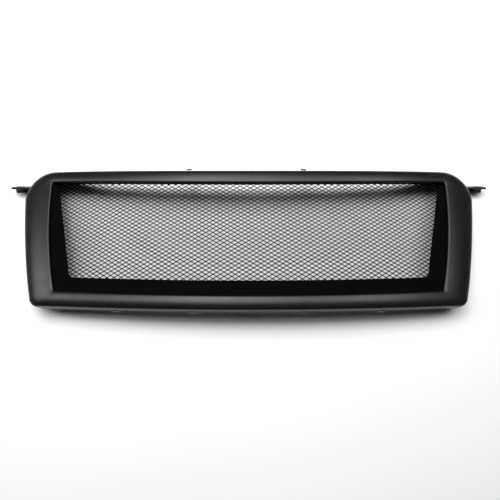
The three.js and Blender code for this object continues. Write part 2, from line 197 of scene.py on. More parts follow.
def spline(points, steps):
    """Centripetal Catmull-Rom through the points, end tangents from mirrored neighbours."""
    P = [np.array(p, float) for p in points]
    P = [2 * P[0] - P[1]] + P + [2 * P[-1] - P[-2]]
    out = []
    for i in range(1, len(P) - 2):
        p0, p1, p2, p3 = P[i - 1 : i + 3]
        t0 = 0.0
        t1 = t0 + np.linalg.norm(p1 - p0) ** 0.5
        t2 = t1 + np.linalg.norm(p2 - p1) ** 0.5
        t3 = t2 + np.linalg.norm(p3 - p2) ** 0.5
        for k in range(steps):
            t = t1 + (t2 - t1) * k / steps
            a1 = (t1 - t) / (t1 - t0) * p0 + (t - t0) / (t1 - t0) * p1
            a2 = (t2 - t) / (t2 - t1) * p1 + (t - t1) / (t2 - t1) * p2
            a3 = (t3 - t) / (t3 - t2) * p2 + (t - t2) / (t3 - t2) * p3
            b1 = (t2 - t) / (t2 - t0) * a1 + (t - t0) / (t2 - t0) * a2
            b2 = (t3 - t) / (t3 - t1) * a2 + (t - t1) / (t3 - t1) * a3
            out.append((t2 - t) / (t2 - t1) * b1 + (t - t1) / (t2 - t1) * b2)
    out.append(P[-2])
    return out


def fillet(points, r, steps=3, closed=True):
    """Rounds the corners of a polyline."""
    out, n = [], len(points)
    P = [Vector(p) for p in points]
    for i, p in enumerate(P):
        if not closed and i in (0, n - 1):
            out.append(p)
            continue
        a, b = P[i - 1] - p, P[(i + 1) % n] - p
        la, lb = a.length, b.length
        cosang = max(-1.0, min(1.0, a.dot(b) / (la * lb)))
        ang = math.acos(cosang)
        if ang > 3.0:
            out.append(p)
            continue
        t = min(r / math.tan(ang / 2), la * 0.45, lb * 0.45)
        s, e = p + a / la * t, p + b / lb * t
        for k in range(steps + 1):
            u = k / steps
            out.append((1 - u) ** 2 * s + 2 * u * (1 - u) * p + u * u * e)
    return out


# ---- materials ----------------------------------------------------------------------------
class Nodes:
    """A short way to write a node tree in object coordinates, which are the part's own, in metres."""

    def __init__(self, name):
        self.m = bpy.data.materials.new(name)
        self.m.use_nodes = True
        self.t = self.m.node_tree
        self.t.nodes.clear()
        self.out = self.t.nodes.new("ShaderNodeOutputMaterial")
        self.bsdf = self.t.nodes.new("ShaderNodeBsdfPrincipled")
        self.t.links.new(self.bsdf.outputs[0], self.out.inputs[0])
        self.co = self.t.nodes.new("ShaderNodeTexCoord").outputs["Object"]

    def link(self, a, b):
        self.t.links.new(a, b)

    def scaled(self, s):
        n = self.t.nodes.new("ShaderNodeMapping")
        n.inputs["Scale"].default_value = s
        self.link(self.co, n.inputs["Vector"])
        return n.outputs[0]

    def noise(self, scale, detail=2.0, rough=0.5, co=None):
        n = self.t.nodes.new("ShaderNodeTexNoise")
        n.inputs["Scale"].default_value = scale
        n.inputs["Detail"].default_value = detail
        n.inputs["Roughness"].default_value = rough
        self.link(co or self.co, n.inputs["Vector"])
        return n.outputs["Fac"]

    def voronoi(self, scale, feature="F1", co=None, out="Distance"):
        n = self.t.nodes.new("ShaderNodeTexVoronoi")
        n.feature = feature
        n.inputs["Scale"].default_value = scale
        self.link(co or self.co, n.inputs["Vector"])
        return n.outputs[out]

    def remap(self, v, a, b, c, d, kind="LINEAR"):
        n = self.t.nodes.new("ShaderNodeMapRange")
        n.interpolation_type = kind
        for k, x in zip(("From Min", "From Max", "To Min", "To Max"), (a, b, c, d)):
            n.inputs[k].default_value = x
        self.link(v, n.inputs["Value"])
        return n.outputs[0]

    def math(self, op, a, b):
        n = self.t.nodes.new("ShaderNodeMath")
        n.operation = op
        for k, x in enumerate((a, b)):
            if isinstance(x, (int, float)):
                n.inputs[k].default_value = x
            else:
                self.link(x, n.inputs[k])
        return n.outputs[0]

    def ramp(self, v, stops):
        n = self.t.nodes.new("ShaderNodeValToRGB")
        e = n.color_ramp.elements
        while len(e) < len(stops):
            e.new(0.5)
        for k, (p, c) in enumerate(stops):
            e[k].position = p
            e[k].color = (*c, 1)
        self.link(v, n.inputs[0])
        return n.outputs[0]

    def mix(self, f, a, b):
        n = self.t.nodes.new("ShaderNodeMix")
        n.data_type = "RGBA"
        for k, x in ((0, f), (6, a), (7, b)):
            if isinstance(x, tuple):
                n.inputs[k].default_value = (*x, 1)
            elif isinstance(x, (int, float)):
                n.inputs[k].default_value = x
            else:
                self.link(x, n.inputs[k])
        return n.outputs[2]

    def bump(self, height, strength, distance, normal=None):
        n = self.t.nodes.new("ShaderNodeBump")
        n.inputs["Strength"].default_value = strength
        n.inputs["Distance"].default_value = distance
        self.link(height, n.inputs["Height"])
        if normal is not None:
            self.link(normal, n.inputs["Normal"])
        return n.outputs[0]

    def edge_wear(self):
        """1 on convex edges, 0 on flats."""
        g = self.t.nodes.new("ShaderNodeNewGeometry")
        return self.remap(g.outputs["Pointiness"], 0.52, 0.62, 0.0, 1.0)

    def set(self, **kw):
        for k, v in kw.items():
            sock = self.bsdf.inputs[k.replace("_", " ")]
            if isinstance(v, (int, float, tuple)):
                sock.default_value = (*v, 1) if isinstance(v, tuple) else v
            else:
                self.link(v, sock)
        return self.m


def satin_black():
    """Sprayed satin black paint over moulded plastic: orange peel, fine pigment grain, a little dust."""
    n = Nodes("satin_black_paint")
    tone = n.ramp(n.noise(7.0, 3.0), [(0.3, (0.0052, 0.0054, 0.0058)), (0.7, (0.0078, 0.0079, 0.0082))])
    dust = n.remap(n.noise(1500.0, 2.0, 0.6), 0.73, 0.79, 0.0, 0.55)
    handled = n.remap(n.noise(23.0, 5.0, 0.62), 0.35, 0.75, 0.0, 1.0)
    col = n.mix(dust, tone, (0.045, 0.044, 0.042))
    rough = n.math("ADD", n.remap(n.noise(55.0, 4.0, 0.6), 0.3, 0.7, 0.25, 0.31), n.math("MULTIPLY", handled, 0.03))
    peel = n.bump(n.noise(330.0, 2.0, 0.45), 0.35, 0.00004)
    grain = n.bump(n.noise(2600.0, 2.0, 0.6), 0.25, 0.00002, peel)
    n.set(Base_Color=col, Roughness=rough, Normal=grain)
    n.set(Metallic=0.0, IOR=1.5, Specular_IOR_Level=0.3)
    return n.m


def matte_black(name="moulded_matte_black", base=0.0012, spec=0.015, r0=0.6, r1=0.74):
    """Moulded black plastic with a fine spark-eroded grain."""
    n = Nodes(name)
    tone = n.ramp(n.noise(16.0, 4.0), [(0.3, (base, base, base * 1.02)), (0.72, (base * 1.6, base * 1.6, base * 1.55))])
    cells = n.voronoi(1150.0)
    fine = n.noise(3200.0, 2.0, 0.6)
    col = n.mix(n.remap(n.noise(900.0, 2.0), 0.70, 0.78, 0.0, 0.35), tone, (0.016, 0.016, 0.0155))
    n.set(Base_Color=col, Roughness=n.remap(n.noise(70.0, 4.0, 0.6), 0.3, 0.7, r0, r1))
    b = n.bump(cells, 0.35, 0.00006)
    n.set(Normal=n.bump(fine, 0.3, 0.00003, b), Metallic=0.0, IOR=1.49, Specular_IOR_Level=spec)
    return n.m


def coated_mesh():
    """Black powder coat on expanded aluminium, a little thicker and glossier in places."""
    n = Nodes("powder_coated_mesh")
    tone = n.ramp(n.noise(120.0, 3.0), [(0.3, (0.0014, 0.0014, 0.00145)), (0.7, (0.0030, 0.0030, 0.0031))])
    worn = n.remap(n.noise(420.0, 3.0, 0.6), 0.70, 0.80, 0.0, 0.4)
    n.set(Base_Color=n.mix(worn, tone, (0.014, 0.014, 0.014)), Roughness=n.remap(n.noise(380.0, 3.0), 0.3, 0.7, 0.5, 0.66))
    b = n.bump(n.noise(1700.0, 3.0, 0.55), 0.5, 0.00006)
    n.set(Normal=b, Metallic=0.0, IOR=1.5, Specular_IOR_Level=0.02)
    return n.m


def zinc_steel():
    """Zinc-plated steel: faint crystals, tarnish."""
    n = Nodes("zinc_plated_steel")
    tone = n.ramp(n.noise(260.0, 4.0, 0.6), [(0.25, (0.20, 0.205, 0.21)), (0.5, (0.33, 0.335, 0.34)), (0.8, (0.43, 0.43, 0.42))])
    tarnish = n.remap(n.noise(90.0, 4.0, 0.65), 0.55, 0.8, 0.0, 0.5)
    n.set(Base_Color=n.mix(tarnish, tone, (0.17, 0.15, 0.11)), Roughness=n.remap(n.noise(700.0, 3.0), 0.3, 0.7, 0.28, 0.46))
    b = n.bump(n.voronoi(2400.0), 0.25, 0.00003)
    n.set(Normal=n.bump(n.noise(4200.0, 2.0), 0.3, 0.00002, b), Metallic=1.0)
    return n.m


def bush_rubber():
    """Moulded rubber with bloom."""
    n = Nodes("bush_rubber")
    tone = n.ramp(n.noise(180.0, 4.0, 0.6), [(0.3, (0.006, 0.006, 0.006)), (0.75, (0.016, 0.0155, 0.015))])
    n.set(Base_Color=tone, Roughness=n.remap(n.noise(500.0, 3.0), 0.3, 0.7, 0.78, 0.92))
    n.set(Normal=n.bump(n.noise(2200.0, 3.0, 0.6), 0.5, 0.00005), Metallic=0.0, IOR=1.5, Specular_IOR_Level=0.3)
    return n.m


def pale_floor():
    n = Nodes("pale_table")
    tone = n.ramp(n.noise(1.7, 3.0), [(0.3, (0.86, 0.86, 0.85)), (0.7, (0.885, 0.885, 0.88))])
    n.set(Base_Color=tone, Roughness=n.remap(n.noise(30.0, 3.0), 0.3, 0.7, 0.62, 0.74))
    n.set(Normal=n.bump(n.noise(900.0, 2.0), 0.1, 0.00004), Metallic=0.0, IOR=1.45, Specular_IOR_Level=0.2)
    # a lit backdrop all round: the table stays pale out to its far edge
    tc = n.t.nodes.new("ShaderNodeTexCoord")
    r = n.t.nodes.new("ShaderNodeVectorMath")
    r.operation = "LENGTH"
    n.link(tc.outputs["Object"], r.inputs[0])
    n.set(Emission_Color=(0.92, 0.92, 0.92), Emission_Strength=n.remap(r.outputs["Value"], 1.3, 3.4, 0.0, 0.95))
    return n.m


SATIN, MATTE, COATED, STEEL, RUBBER = satin_black(), matte_black(), coated_mesh(), zinc_steel(), bush_rubber()
BRACKET = matte_black("moulded_bracket_black", base=0.006, spec=0.4, r0=0.4, r1=0.52)


def keep(ob, nodes):
    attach(ob, "root")
    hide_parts(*nodes)
    return ob


# ---- camera --------------------------------------------------------------------------------
cam_data = bpy.data.cameras.new("camera")
cam_data.sensor_fit = "HORIZONTAL"
cam_data.sensor_width = 36
cam_data.lens = 25.2
cam_data.clip_start = 0.05
cam_data.clip_end = 100
camera = bpy.data.objects.new("camera", cam_data)
camera.location = (0.00307, -0.26583, 0.7451)
camera.rotation_euler = (math.radians(18.5), 0, 0)
scene.collection.objects.link(camera)
scene.camera = camera

# ---- surround --------------------------------------------------------------------------------
# Share of the rail width from the opening outwards, height below the lip.
FACE_LONG = [(0.026, -0.9), (0.07, 0.0), (0.2, 0.75), (0.42, 1.05), (0.62, 0.5), (0.79, -0.9), (0.905, -3.0), (0.965, -5.2), (1, -9.6)]
FACE_SIDE = [(0.014, -0.9), (0.04, 0.0), (0.12, 0.6), (0.32, 1.3), (0.58, 0.8), (0.8, -1.1), (0.93, -3.4), (0.975, -5.2), (1, -8.6)]
FACE_LOW = [(0.026, -0.9), (0.07, -0.35), (0.2, 0.05), (0.42, 0.6), (0.62, 1.15), (0.82, 1.5), (0.925, 0.95), (0.977, -1.5), (1, -8.4)]


def rail_section(i):
    L, O, w = lip[i], outer[i], side_share[i]
    W = float(np.hypot(*(O - L)))

    def at(d, z):
        p = L + (O - L) * (d / W)
        return (p[0], p[1], Z_LIP + z - bow(p[0]))

    low = min(max((20 - O[1]) / 60, 0.0), 1.0)  # the lower rail's face is the flattest
    low = low * low * (3 - 2 * low)
    mid = [(a[0] + (b[0] - a[0]) * low, a[1] + (b[1] - a[1]) * low) for a, b in zip(FACE_LONG, FACE_LOW)]
    knots = [((a[0] + (b[0] - a[0]) * w) * W, a[1] + (b[1] - a[1]) * w) for a, b in zip(mid, FACE_SIDE)]
    drop = knots[-1][1]
    face = spline([(0.0, -2.2)] + knots, 5)
    x_out = O[0]
    rear = max(0.0, (REAR_Z - bow(x_out)) * (1 - w))
    z_out = Z_LIP + drop - bow(x_out)

    def wall(d, f):  # down the outer wall, f from 0 at the shoulder to 1 at the rear edge
        p = L + (O - L) * (d / W)
        return (p[0], p[1], z_out + (rear - z_out) * f)

    sec = [at(0.35, -RETURN_DEPTH), at(0.0, -RETURN_DEPTH + 0.35), at(0.0, -4.0)]
    sec += [at(d, z) for d, z in face]
    sec += [wall(W, 0.12), wall(W, 0.4), wall(W, 0.7), wall(W, 0.93)]
    p1, p2, p3, p4 = (L + (O - L) * ((W - k) / W) for k in (0.0, 0.5, 2.6, 3.1))
    sec += [(p1[0], p1[1], rear + 0.5), (p2[0], p2[1], rear), (p3[0], p3[1], rear), (p4[0], p4[1], rear + 0.5)]
    # inner side, 3 mm inside the face
    inner = []
    for k in range(len(face) - 1, 0, -2):
        d, z = face[k]
        e, f = face[max(k - 1, 0)], face[min(k + 1, len(face) - 1)]
        t = np.array(f) - np.array(e)
        t /= np.linalg.norm(t)
        q = (d + t[1] * WALL, z - t[0] * WALL)
        if WALL < q[0] < W - WALL and q[1] < -1.5 and (not inner or q[0] < inner[-1][0] - 0.3):
            inner.append(q)
    z_in = Z_LIP + (inner[0][1] if inner else -8) - bow(x_out)
    q = L + (O - L) * ((W - WALL - 0.1) / W)
    sec += [(q[0], q[1], rear + (z_in - rear) * f) for f in (0.3, 0.65, 0.92)]
    return sec, [at(*q) for q in inner], [at(WALL, -4.2), at(WALL, -RETURN_DEPTH + 0.3), at(WALL - 0.35, -RETURN_DEPTH)]


def resample(points, n):
    P = np.array(points)
    s = np.r_[0, np.cumsum(np.linalg.norm(np.diff(P, axis=0), axis=1))]
    return [tuple(np.interp(u, s, P[:, k]) for k in range(3)) for u in np.linspace(0, s[-1], n)]


def build_surround():
    rings = []
    for i in range(N):
        sec, inner, end = rail_section(i)
        rings.append(sec + resample(inner, 12) + end)
    v, f = ring_mesh(rings)
    ob = new_object("surround_moulding", v, f, [SATIN], smooth=50)
    orient(ob)
    return keep(ob, ["surround"])


build_surround()


# ---- inner frame ------------------------------------------------------------------------------
def build_inner_frame():
    rings = []
    for i in range(N):
        n, p = n_aper[i], aperture[i]

        def at(d, z):
            q = p + n * d
            return (q[0], q[1], Z_LIP + z - bow(q[0]))

        top = -RETURN_DEPTH - GAP
        dl = d_lip[i] + 0.3
        f = max(d_lip[i] + 9, 18.8)
        sec = [at(f, top - 1.6), at(f - 0.3, top - 1.3 + 0.02), at((f + dl) / 2, top - 0.6), at(dl + 0.6, top - 0.03), at(dl, top)]
        sec += [at(dl - 0.35, top - 0.15), at(dl - 0.6, top - 0.7)]
        a, b = (dl - 0.6, top - 0.7), (0.9, SEAT + 1.5)
        for t in (0.12, 0.3, 0.5, 0.7, 0.88):
            sec.append(at(a[0] + (b[0] - a[0]) * t, a[1] + (b[1] - a[1]) * t - 0.5 * math.sin(math.pi * t)))
        sec += [at(0.9, SEAT + 1.5), at(0.4, SEAT + 1.05), at(0.08, SEAT + 0.55), at(0, SEAT + 0.15), at(0.15, SEAT)]
        sec += [at(15.2, SEAT), at(15.2, RIM_DEPTH + 0.3), at(15.5, RIM_DEPTH), at(17.7, RIM_DEPTH), at(18, RIM_DEPTH + 0.3)]
        sec += [at(18, SEAT + 2.6), at(max(dl - 3, 18.2), top - 3.2), at(f - 0.3, top - 3), at(f, top - 2.7)]
        rings.append(sec)
    v, f = ring_mesh(rings)
    ob = new_object("inner_frame_funnel", v, f, [MATTE], smooth=42)
    orient(ob)
    return keep(ob, ["inner_frame"])


build_inner_frame()

# ---- expanded mesh ------------------------------------------------------------------------------
LW, SW = 14.9, 9.0  # long way and short way of one diamond
SKEW = 0.035  # the rows lean a little to the right going down
_xs = np.linspace(-520, 520, 4161)
_slope = 2 * BOW2 * _xs + 4 * BOW4 * _xs**3
_arc = np.r_[0, np.cumsum(np.sqrt(1 + ((_slope[1:] + _slope[:-1]) / 2) ** 2) * np.diff(_xs))]
_arc -= np.interp(0, _xs, _arc)


def x_of_arc(s):
    return np.interp(s, _arc, _xs)


def build_mesh_panel():
    lim = aperture + n_aper * 13.4
    # half-plane style test against the closed outline, and the nearest point on it
    nxt = np.roll(lim, -1, 0)

    def inside(q):
        x, y = q
        c = ((lim[:, 1] > y) != (nxt[:, 1] > y)) & (x < (nxt[:, 0] - lim[:, 0]) * (y - lim[:, 1]) / (nxt[:, 1] - lim[:, 1] + 1e-12) + lim[:, 0])
        return bool(c.sum() % 2)

    def snap(q):
        e = nxt - lim
        t = np.clip(((q - lim) * e).sum(1) / (e * e).sum(1), 0, 1)
        c = lim + e * t[:, None]
        k = np.argmin(((c - q) ** 2).sum(1))
        return c[k]

    a, b = LW / 2, SW / 2
    y0 = 172.0
    tmpl = np.array([(5.25, 0.42), (1.3, 2.78), (0, 3.16), (-1.3, 2.78), (-5.25, 0.42), (-5.25, -0.42), (-1.3, -2.78), (0, -3.16), (1.3, -2.78), (5.25, -0.42)])
    tz = np.array([0.08, 0.3, 0.34, 0.3, 0.08, -0.08, -0.3, -0.34, -0.3, -0.08])

    def place(u, v):
        y = y0 + v
        return np.array([x_of_arc(u - SKEW * v), y])

    verts, faces, shared, edges = [], [], {}, {}

    def put(q, z):
        if not inside(q):
            q = snap(q)
        verts.append(mm(q[0], q[1], Z_LIP + SEAT - MESH_GAP - MESH_T / 2 - bow(q[0]) + z))
        return len(verts) - 1

    def corner(i, j):  # node of the net, in half steps
        if (i, j) not in shared:
            q = place(i * a, j * b)
            shared[(i, j)] = (put(q, MESH_T / 2), put(q, -MESH_T / 2))
        return shared[(i, j)]

    h = MESH_T / 2 - 0.14
    for ci in range(-66, 67):
        for cj in range(-40, 41):
            if (ci + cj) % 2:
                continue
            c = place(ci * a, cj * b)
            if abs(c[0]) > 460 or not (30 < c[1] < 320) or not inside(c):
                continue
            C = [corner(ci + 1, cj), corner(ci, cj + 1), corner(ci - 1, cj), corner(ci, cj - 1)]
            H = []
            for (du, dv), dz in zip(tmpl, tz):
                q = place(ci * a + du, cj * b + dv)
                H.append((put(q, h + dz), put(q, -h + dz)))
            top = [(C[0], H[0], H[9]), (C[0], C[1], H[1], H[0]), (C[1], H[2], H[1]), (C[1], H[3], H[2]), (C[1], C[2], H[4], H[3])]
            top += [(C[2], H[5], H[4]), (C[2], C[3], H[6], H[5]), (C[3], H[7], H[6]), (C[3], H[8], H[7]), (C[3], C[0], H[9], H[8])]
            for f in top:
                faces.append([p[0] for p in f])
                faces.append([p[1] for p in f][::-1])
            for k in range(10):
                p, q = H[k], H[(k + 1) % 10]
                faces.append([p[0], q[0], q[1], p[1]])
            for k in range(4):
                p, q = C[k], C[(k + 1) % 4]
                edges[(p[0], q[0])] = (p, q)
    for (pa, qa), (p, q) in edges.items():
        if (qa, pa) not in edges:
            faces.append([p[0], p[1], q[1], q[0]])
    ob = new_object("expanded_mesh", verts, faces, [COATED], smooth=38)
    print("mesh panel faces", len(faces), "triangles", sum(len(f) - 2 for f in faces))
    return keep(ob, ["mesh_panel"])


build_mesh_panel()


# ---- retainer strips ---------------------------------------------------------------------------
def build_retainer(name, i0, i1, trim):
    rings = []
    cut = trim * FINE
    s0, s1 = i0 + cut, i1 - cut
    stations = [s0, s0 + 0.25] + [k for k in range(i0, i1 + 1) if s0 + 0.35 < k < s1 - 0.35] + [s1 - 0.25, s1]
    z0, z1 = RET_TOP, RET_TOP - RET_T
    sec = fillet([(1.4, z0), (1.4, z1 + 1.2), (2.6, z1), (14.6, z1), (14.6, z0)], 0.45, 3)
    cx, cz = 8.0, (z0 + z1) / 2
    for m, s in enumerate(stations):
        k, f = int(math.floor(s)), s - math.floor(s)
        p = aperture[k % N] * (1 - f) + aperture[(k + 1) % N] * f
        n = n_aper[k % N] * (1 - f) + n_aper[(k + 1) % N] * f
        n = n / np.linalg.norm(n)
        g = 0.25 if m in (0, len(stations) - 1) else 0.0
        r = []
        for d, z in sec:
            d2 = d - g * math.copysign(1, d - cx)
            z2 = z - g * math.copysign(1, z - cz)
            q = p + n * d2
            r.append((q[0], q[1], Z_LIP + z2 - bow(q[0])))
        rings.append(r)
    v, fc = ring_mesh(rings, closed=False)
    ob = new_object("retainer_strip_" + name, v, fc, [MATTE], smooth=40)
    orient(ob)
    return keep(ob, ["mesh_retainer_" + name])


i_top = (0, N_TOP)
i_right = (N_TOP + N_COR, N_TOP + N_COR + N_SIDE)
i_bot = (i_right[1] + N_COR, i_right[1] + N_COR + N_BOT)
i_left = (i_bot[1] + N_COR, i_bot[1] + N_COR + N_SIDE)
build_retainer("top", *i_top, 0.1)
build_retainer("right", *i_right, 0.3)
build_retainer("bottom", *i_bot, 0.1)
build_retainer("left", *i_left, 0.3)


# ---- screws -------------------------------------------------------------------------------------
def screw(name, node, origin, axis, tip, base, head_r, head_h):
    """Pan head screw: shank from tip to base along axis, head from base outwards, cross recess, rolled thread."""
    seg = 40
    prof = [(0.25, tip), (1.1, tip + 0.35)]
    z, k = tip + 0.7, 0
    while z < base - 1.0:
        prof.append((SCREW_R if k % 2 else SCREW_R - 0.42, z))
        z += 0.42
        k += 1
    prof += [(SCREW_R - 0.1, base - 0.6), (SCREW_R - 0.1, base), (head_r - 0.25, base), (head_r, base + 0.2), (head_r, base + head_h * 0.32)]
    for t in (12, 26, 42, 58, 72):
        a = math.radians(t)
        prof.append((head_r * (0.72 + 0.28 * math.cos(a)), base + head_h * (0.32 + 0.56 * math.sin(a))))
    dome = [0.66, 0.6, 0.55, 0.5, 0.46, 0.4, 0.33, 0.26, 0.2, 0.15, 0.1, 0.05]
    verts, faces = [], []
    w, reach, depth = head_r * 0.13, head_r * 0.52, head_h * 0.55
    for r, z in prof:
        verts += [(r * math.cos(2 * math.pi * j / seg), r * math.sin(2 * math.pi * j / seg), z) for j in range(seg)]
    for q in dome:
        r = q * head_r
        for j in range(seg):
            x, y = r * math.cos(2 * math.pi * j / seg), r * math.sin(2 * math.pi * j / seg)
            z = base + head_h * (1.0 - 0.14 * q * q)
            m = min(abs(x), abs(y))
            far = max(abs(x), abs(y))
            cut = max(0.0, min(1.0, (w * 1.35 - m) / (w * 0.5))) * max(0.0, min(1.0, (reach - far) / (head_r * 0.12)))
            verts.append((x, y, z - depth * cut * (1 - 0.35 * far / reach if far < reach else 1)))
    verts.append((0, 0, base + head_h - depth))
    verts.append((0, 0, tip))
    R = len(prof) + len(dome)
    for i in range(R - 1):
        for j in range(seg):
            a, b = i * seg + j, i * seg + (j + 1) % seg
            faces.append((a, b, b + seg, a + seg))
    for j in range(seg):
        faces.append(((R - 1) * seg + j, (R - 1) * seg + (j + 1) % seg, R * seg))
        faces.append((R * seg + 1, (j + 1) % seg, j))
    q = Vector((0, 0, 1)).rotation_difference(Vector(axis).normalized())
    M = Matrix.Translation(Vector(mm(*origin))) @ q.to_matrix().to_4x4() @ Matrix.Scale(0.001, 4)
    ob = new_object(name, [M @ Vector(v) for v in verts], faces, [STEEL], smooth=35)
    return keep(ob, [node])


RET_SCREWS = []
for k, x in enumerate([-350, -175, 0, 175, 350]):
    RET_SCREWS.append(("top_%d" % (k + 1), x, APERTURE["top"](x) + 8))
for k, x in enumerate([-320, -160, 0, 160, 320]):
    RET_SCREWS.append(("bottom_%d" % (k + 1), x, APERTURE["bottom"](x) - 8))
for side, s in (("left", -1), ("right", 1)):
    for k, y in enumerate([235, 120]):
        RET_SCREWS.append(("%s_%d" % (side, k + 1), s * (APERTURE["side"](y) + 7.7), y - 2.2))
for tag, x, y in RET_SCREWS:
    z = Z_LIP - bow(x) + RET_TOP - RET_T - GAP - 0.5
    screw("retainer_pan_screw_" + tag, "retainer_screw_" + tag, (x, y, z), (0, 0, -1), -6.9, 0.0, 4.2, 2.6)
for tag in ("bottom_1", "bottom_2", "bottom_3", "left_1", "left_2", "right_1", "right_2"):
    lo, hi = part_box("frame_screw_" + tag)
    cx, cy = (lo.x + hi.x) / 2 * 1000, (lo.y + hi.y) / 2 * 1000 + Y_MID
    screw("frame_pan_screw_" + tag, "frame_screw_" + tag, (cx, cy, lo.z * 1000 + 2.6), (0, 0, -1), -6.7, 0.0, 4.2, 2.6)
for side, s in (("left", -1), ("right", 1)):
    for k, y in enumerate([254, 276]):
        x = outer_side(y) - (0.6 if y > 270 else 0)
        screw("bracket_pan_screw_%s_%d" % (side, k + 1), "bracket_screw_%s_%d" % (side, k + 1), (s * x, y, 11.4), (s * 0.97, 0.04, 0), -5.5, 5.4, 4.1, 2.6)

# ---- side brackets and bushes ---------------------------------------------------------------------
TILT = math.radians(38)
TAB_DIR = Vector((0, math.sin(TILT), -math.cos(TILT)))
TAB_UP = Vector((0, math.cos(TILT), math.sin(TILT)))
TAB = dict(x=530.0, y=299.3, z=18.6, tip=549.6, thick=4.0, depth=20.0, boss=11.4, bossH=8.5)
TAB_HOLE_R = 8.4


def tab_matrix(s):
    m = Matrix(((s, TAB_DIR.x, TAB_UP.x), (0, TAB_DIR.y, TAB_UP.y), (0, TAB_DIR.z, TAB_UP.z))).to_4x4()
    m.translation = Vector((s * TAB["x"], TAB["y"], TAB["z"]))
    return m


def prism(points, z0, z1, M=None):
    n = len(points)
    v = [Vector((p[0], p[1], z0)) for p in points] + [Vector((p[0], p[1], z1)) for p in points]
    f = [tuple(range(n))[::-1], tuple(range(n, 2 * n))] + [(i, (i + 1) % n, n + (i + 1) % n, n + i) for i in range(n)]
    if M is not None:
        v = [M @ p for p in v]
    return v, f


def circle(r, n=64):
    return [(r * math.cos(2 * math.pi * k / n), r * math.sin(2 * math.pi * k / n)) for k in range(n)]


def temp_object(name, v, f):
    """Closed scratch body for cutting, in the part's frame."""
    me = bpy.data.meshes.new(name)
    me.from_pydata([mm(*p) for p in v], [], f)
    ob = bpy.data.objects.new(name, me)
    scene.collection.objects.link(ob)
    orient(ob)
    return ob


def outline_prism(name, g, z0=-40, z1=140):
    pts = [tuple(p) for p in (outer + n_outer * g)]
    return temp_object(name, *prism(pts, z0, z1))


def apply_all(ob):
    dg = bpy.context.evaluated_depsgraph_get()
    dg.update()
    me = bpy.data.meshes.new_from_object(ob.evaluated_get(dg))
    ob.modifiers.clear()
    old = ob.data
    ob.data = me
    bpy.data.meshes.remove(old)


def boolean(ob, other, op):
    m = ob.modifiers.new("b", "BOOLEAN")
    m.operation = op
    m.solver = "EXACT"
    m.object = other
    apply_all(ob)


def drop(*obs):
    for o in obs:
        bpy.data.objects.remove(o)


